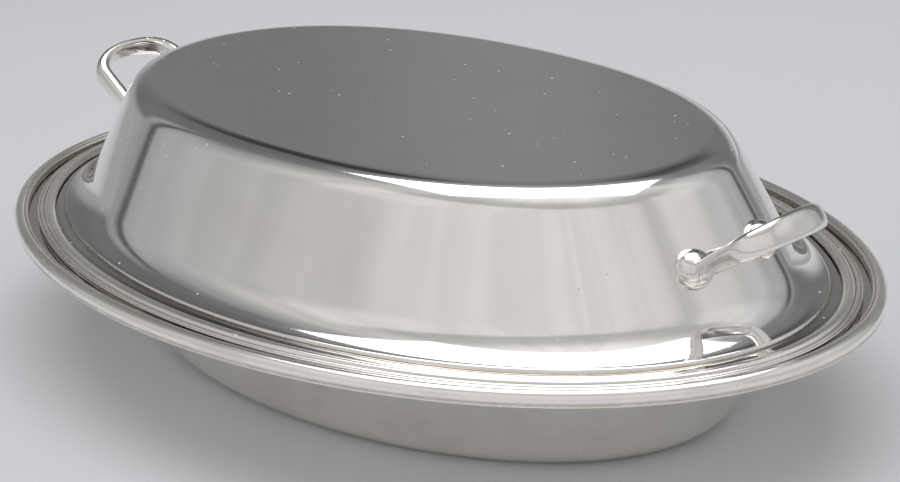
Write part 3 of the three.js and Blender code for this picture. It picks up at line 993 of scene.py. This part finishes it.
# %% Strap rings
STRAP_WIDTH, STRAP_THICKNESS, FOOT_WIDTH, FOOT_THICKNESS = 7.6, 3.0, 5.1, 4.6
STRAP_SWELL, THINNING, SECTION_SQUARENESS = 2.0, 3, 2.6
RING_POINTS = 64


def strap_ring(before, station, after):
    """Points round the strap at a station, each to the side, out and up from the handle's root."""
    side, out, share = station
    tangent = Vector((after[0] - before[0], after[1] - before[1])).normalized()
    swell = math.sin(math.pi * share) ** STRAP_SWELL
    half_wide = (FOOT_WIDTH + (STRAP_WIDTH - FOOT_WIDTH) * swell) / 2
    half_thick = (FOOT_THICKNESS + (STRAP_THICKNESS - FOOT_THICKNESS) * swell ** THINNING) / 2
    ring = []
    for k in range(RING_POINTS):
        angle = 2 * math.pi * k / RING_POINTS
        thick = half_thick * squarer(math.cos(angle), SECTION_SQUARENESS)
        wide = half_wide * squarer(math.sin(angle), SECTION_SQUARENESS)
        strap = math.hypot(thick, wide)
        direction = (tangent.y * thick / strap, -tangent.x * thick / strap, wide / strap)
        ball = lobe_reach(side, out, direction) if out < LOBE_END else 0.0
        reach = blended(strap, ball, LOBE_BLEND) if ball > 0 else strap
        ring.append((side + direction[0] * reach, out + direction[1] * reach, direction[2] * reach))
    return ring


# %% [markdown]
# The handle's root stands on the cover's wall, and its loop tilts upwards. Points that would end up
# inside the cover are held in the middle of its sheet, out of sight. The same distance to the wall
# tells where the crevice lies between casting and wall, in which tarnish stays.

# %% Meeting the wall
HANDLE_TILT, HANDLE_SINK = math.radians(33.5), 0.7
CREVICE_REACH, CREVICE_STAIN = (0.15, 0.7), 0.9
outward = Vector((math.cos(HANDLE_TILT), 0, math.sin(HANDLE_TILT)))
across = Vector((0, 1, 0))
upward = Vector((-math.sin(HANDLE_TILT), 0, math.cos(HANDLE_TILT)))


def smoothstep(low, high, value):
    share = min(max((value - low) / (high - low), 0.0), 1.0)
    return share * share * (3 - 2 * share)


def cover_skin_x(aside, level):
    """Half length of the cover's outer skin at a height and a distance to the side."""
    inset = cover_wall_inset(level)
    half = HALF_LENGTH - inset
    wide = HALF_WIDTH - RIM_BAND - cover_oval["side_rate"] * (inset - RIM_BAND)
    return half * math.sqrt(max(1 - (aside / wide) ** 2, 0.0))


def fit_to_wall(points):
    """Holds the points in or outside the sheet, and gives the crevice's share at each."""
    crevice = []
    for point in points:
        skin = cover_skin_x(point.y, point.z)
        crevice.append(CREVICE_STAIN * (1 - smoothstep(*CREVICE_REACH, point.x - skin)))
        point.x = max(point.x, skin - SHEET / 2)
    return crevice


# %% [markdown]
# The rings of all stations make one closed mesh, with four-sided faces between neighbours and one
# face over each end, inside the wall. The left handle is the same casting turned half round and
# soldered on a little lower.

# %% Handles
RIGHT_HEIGHT, LEFT_HEIGHT = 58.4, 56.7


def loft_faces(rings):
    """Four-sided faces between neighbouring rings, and one face over each end."""
    faces = []
    for i in range(rings - 1):
        for k in range(RING_POINTS):
            a, b = i * RING_POINTS + k, i * RING_POINTS + (k + 1) % RING_POINTS
            faces.append((a, b, b + RING_POINTS, a + RING_POINTS))
    last = (rings - 1) * RING_POINTS
    faces.append(tuple(range(RING_POINTS))[::-1])
    faces.append(tuple(range(last, last + RING_POINTS)))
    return faces


def handle_mesh(name, height, turned):
    """A handle at a height of the wall; turned, it stands at the cover's other end."""
    root = Vector((HALF_LENGTH - cover_wall_inset(height) - HANDLE_SINK, 0, height))
    points = []
    for before, station, after in zip([stations[0]] + stations, stations, stations[1:] + [stations[-1]]):
        for side, out, rise in strap_ring(before, station, after):
            points.append(root + outward * out + across * side + upward * rise)
    crevice = fit_to_wall(points)
    sign = -1 if turned else 1
    mesh = bpy.data.meshes.new(name)
    mesh.from_pydata([(sign * p.x * MM, sign * p.y * MM, p.z * MM) for p in points], [],
                     loft_faces(len(stations)))
    mesh.attributes.new("groove", "FLOAT", "POINT").data.foreach_set("value", crevice)
    shape = bmesh.new()
    shape.from_mesh(mesh)
    bmesh.ops.recalc_face_normals(shape, faces=shape.faces)
    shape.to_mesh(mesh)
    shape.free()
    mesh.shade_smooth()
    mesh.materials.append(cast_silver)
    piece = bpy.data.objects.new(name, mesh)
    bpy.context.scene.collection.objects.link(piece)
    print(name, "faces", len(mesh.polygons), "volume", round(signed_volume(mesh) * 1e9, 1), "mm3")
    return piece


right_handle = handle_mesh("cast_handle_right", RIGHT_HEIGHT, turned=False)
left_handle = handle_mesh("cast_handle_left", LEFT_HEIGHT, turned=True)

# %% [markdown]
# ## Setting the cover down
#
# The cover is loose, and nobody sets one down quite straight: it sits turned by less than a degree
# and a little off centre. A finished piece keeps its object at the origin, so the turn goes into the
# meshes of all four pieces.

# %% Cover's place
COVER_SHIFT, COVER_TURN = (0.8, -0.45), math.radians(-0.9)
cover_place = Matrix.Translation((COVER_SHIFT[0] * MM, COVER_SHIFT[1] * MM, 0))
cover_place = cover_place @ Matrix.Rotation(COVER_TURN, 4, "Z")
for piece in (cover_bowl, cover_wire, right_handle, left_handle):
    piece.data.transform(cover_place)
print("cover turned", round(math.degrees(COVER_TURN), 2), "degrees, shifted", COVER_SHIFT, "mm")

# %% [markdown]
# ## Joining the pieces to the frame
#
# Each finished piece hides the CAD node that it stands for and is attached to the body that carries
# it. The cover's four pieces ride on the body `cover`, so they rise together when it is lifted off.

# %% Bodies and slots
for piece, node, body, slot in (
    (dish_bowl, "dish_bowl", "dish", "polished_silver"),
    (dish_wire, "dish_border", "dish", "wire_silver"),
    (cover_bowl, "cover_bowl", "cover", "polished_silver"),
    (cover_wire, "cover_border", "cover", "wire_silver"),
    (right_handle, "handle_right", "cover", "cast_silver"),
    (left_handle, "handle_left", "cover", "cast_silver"),
):
    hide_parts(node)
    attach(piece, body)
    print(piece.name, "stands for", node, "and rides on", body)

# %% [markdown]
#
# How much the finished model's box grew over the CAD model's box is printed. The view transform is
# the plain one, so that colours come out as they are lit.

# %% Finish
bpy.context.scene.view_settings.view_transform = "Standard"
finished_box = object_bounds()
growth = [round((b - a) / MM, 2) for pair in zip(cad_box, finished_box) for a, b in zip(*pair)]
print("box grew by", growth, "mm")
